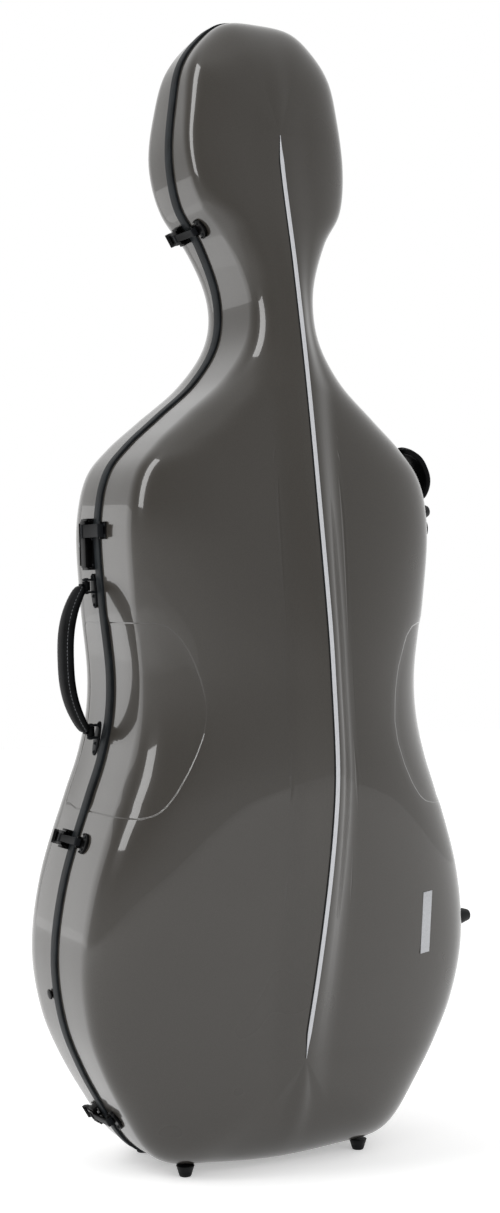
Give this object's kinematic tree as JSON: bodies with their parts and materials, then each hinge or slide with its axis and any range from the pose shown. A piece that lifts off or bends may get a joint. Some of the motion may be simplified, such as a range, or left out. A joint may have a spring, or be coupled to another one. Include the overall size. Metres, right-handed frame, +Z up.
{
  "type": "cello hard case",
  "caption": "Hard-shell case for a cello: glossy dark grey two-part moulded shell, hinged along one side, with toggle latches, a lock, carrying handles, rubber feet and a padded inside.",
  "frame": {"origin": "middle of the bounding box's underside, on the floor that the case stands on", "axes": "+Z up along the case, the lid faces -Y, the base that holds the instrument faces +Y, hinges on the +X side"},
  "size_m": [0.514, 0.3328, 1.3352],
  "materials": {
    "gloss_shell": "dark grey pigmented laminate under a clear gloss coat",
    "black_rubber": "satin black moulded rubber",
    "lining_cloth": "dark grey brushed lining cloth",
    "bright_metal": "brushed bright metal",
    "black_metal": "black painted steel",
    "grip_leather": "black leather over a padded core",
    "foam_padding": "cloth-covered foam",
    "black_plastic": "black moulded nylon"
  },
  "bodies": {
    "base": {"base_shell": "gloss_shell", "base_lining": "lining_cloth", "rim_seal": "black_rubber", "bottom_foot_base_left": "black_rubber", "bottom_foot_base_right": "black_rubber", "side_foot_base_upper": "black_rubber", "side_foot_base_lower": "black_rubber", "strap_button": "black_plastic", "upper_hinge_base_leaf": "black_metal", "upper_hinge_pin": "bright_metal", "lower_hinge_base_leaf": "black_metal", "lower_hinge_pin": "bright_metal", "upper_latch_base": "black_plastic", "middle_latch_base": "black_plastic", "lower_latch_base": "black_plastic", "lock_base": "black_plastic", "side_handle_bracket_bottom": "black_metal", "side_handle_bracket_top": "black_metal", "lower_pad_left": "foam_padding", "upper_pad_left": "foam_padding", "lower_pad_right": "foam_padding", "upper_pad_right": "foam_padding", "end_pad": "foam_padding", "neck_cradle": "foam_padding", "neck_strap": "lining_cloth"},
    "lid": {"lid_shell": "gloss_shell", "lid_lining": "lining_cloth", "keel_strip": "bright_metal", "badge_plate": "bright_metal", "bottom_foot_lid_left": "black_rubber", "bottom_foot_lid_right": "black_rubber", "side_foot_lid_upper": "black_rubber", "side_foot_lid_lower": "black_rubber", "upper_hinge_lid_leaf": "black_metal", "lower_hinge_lid_leaf": "black_metal", "upper_latch_keeper": "black_plastic", "middle_latch_keeper": "black_plastic", "lower_latch_keeper": "black_plastic", "lock_keeper": "black_plastic", "shoulder_handle_bracket_bottom": "black_metal", "shoulder_handle_bracket_top": "black_metal", "bow_pocket_left": "lining_cloth", "bow_clip_post_left": "black_plastic", "bow_pocket_right": "lining_cloth", "bow_clip_post_right": "black_plastic"},
    "upper_latch_lever": {"upper_latch_lever": "black_plastic"},
    "upper_latch_hook": {"upper_latch_hook": "black_metal"},
    "middle_latch_lever": {"middle_latch_lever": "black_plastic"},
    "middle_latch_hook": {"middle_latch_hook": "black_metal"},
    "lower_latch_lever": {"lower_latch_lever": "black_plastic"},
    "lower_latch_hook": {"lower_latch_hook": "black_metal"},
    "lock_lever": {"lock_lever": "black_plastic"},
    "lock_hook": {"lock_hook": "black_metal"},
    "lock_cylinder": {"lock_cylinder": "bright_metal"},
    "side_handle_grip": {"side_handle_grip": "grip_leather"},
    "shoulder_handle_grip": {"shoulder_handle_grip": "grip_leather"},
    "bow_clip_left": {"bow_clip_left": "black_plastic"},
    "bow_clip_right": {"bow_clip_right": "black_plastic"}
  },
  "joints": [
    {"name": "lid_hinge", "type": "hinge", "parent": "base", "child": "lid", "pos_m": [0.24418, 0.03499, 0.29205], "axis": [-0.11, 0, 0.9939], "range_deg": [0, 120]},
    {"name": "upper_latch_lever_pivot", "type": "hinge", "parent": "base", "child": "upper_latch_lever", "pos_m": [-0.08883, 0.05899, 1.0814], "axis": [-0.5263, 0, 0.8503], "range_deg": [0, 90]},
    {"name": "upper_latch_hook_pivot", "type": "hinge", "parent": "upper_latch_lever", "child": "upper_latch_hook", "pos_m": [-0.09138, 0.06499, 1.07982], "axis": [-0.5263, 0, 0.8503], "range_deg": [-90, 0]},
    {"name": "middle_latch_lever_pivot", "type": "hinge", "parent": "base", "child": "middle_latch_lever", "pos_m": [-0.23645, 0.05899, 0.38133], "axis": [0.293, 0, 0.9561], "range_deg": [0, 90]},
    {"name": "middle_latch_hook_pivot", "type": "hinge", "parent": "middle_latch_lever", "child": "middle_latch_hook", "pos_m": [-0.23931, 0.06499, 0.38221], "axis": [0.293, 0, 0.9561], "range_deg": [-90, 0]},
    {"name": "lower_latch_lever_pivot", "type": "hinge", "parent": "base", "child": "lower_latch_lever", "pos_m": [-0.19623, 0.05899, 0.06091], "axis": [-0.5255, 0, 0.8508], "range_deg": [0, 90]},
    {"name": "lower_latch_hook_pivot", "type": "hinge", "parent": "lower_latch_lever", "child": "lower_latch_hook", "pos_m": [-0.19878, 0.06499, 0.05933], "axis": [-0.5255, 0, 0.8508], "range_deg": [-90, 0]},
    {"name": "lock_lever_pivot", "type": "hinge", "parent": "base", "child": "lock_lever", "pos_m": [-0.20776, 0.05899, 0.71769], "axis": [-0.0321, 0, 0.9995], "range_deg": [0, 90]},
    {"name": "lock_hook_pivot", "type": "hinge", "parent": "lock_lever", "child": "lock_hook", "pos_m": [-0.21076, 0.06499, 0.7176], "axis": [-0.0321, 0, 0.9995], "range_deg": [-90, 0]},
    {"name": "lock_cylinder_turn", "type": "hinge", "parent": "base", "child": "lock_cylinder", "pos_m": [-0.20776, 0.07949, 0.71769], "axis": [-0.9995, 0, -0.0321], "range_deg": [0, 90]},
    {"name": "side_handle_swing", "type": "hinge", "parent": "base", "child": "side_handle_grip", "pos_m": [-0.20704, 0.05899, 0.58615], "axis": [-0.0324, 0, 0.9995], "range_deg": [-60, 60]},
    {"name": "shoulder_handle_swing", "type": "hinge", "parent": "lid", "child": "shoulder_handle_grip", "pos_m": [0.18002, -0.00901, 0.8025], "axis": [-0.4478, 0, 0.8942], "range_deg": [-50, 50]},
    {"name": "bow_clip_left_turn", "type": "hinge", "parent": "lid", "child": "bow_clip_left", "pos_m": [-0.08982, -0.0733, 0.21572], "axis": [0.1033, 0.9695, 0.2222], "range_deg": [-90, 90]},
    {"name": "bow_clip_right_turn", "type": "hinge", "parent": "lid", "child": "bow_clip_right", "pos_m": [0.07441, -0.0733, 0.21571], "axis": [-0.1021, 0.9698, 0.2215], "range_deg": [-90, 90]}
  ],
  "couplings": [
    {"joint": "upper_latch_hook_pivot", "follows": "upper_latch_lever_pivot", "ratio": -1},
    {"joint": "middle_latch_hook_pivot", "follows": "middle_latch_lever_pivot", "ratio": -1},
    {"joint": "lower_latch_hook_pivot", "follows": "lower_latch_lever_pivot", "ratio": -1},
    {"joint": "lock_hook_pivot", "follows": "lock_lever_pivot", "ratio": -1}
  ]
}
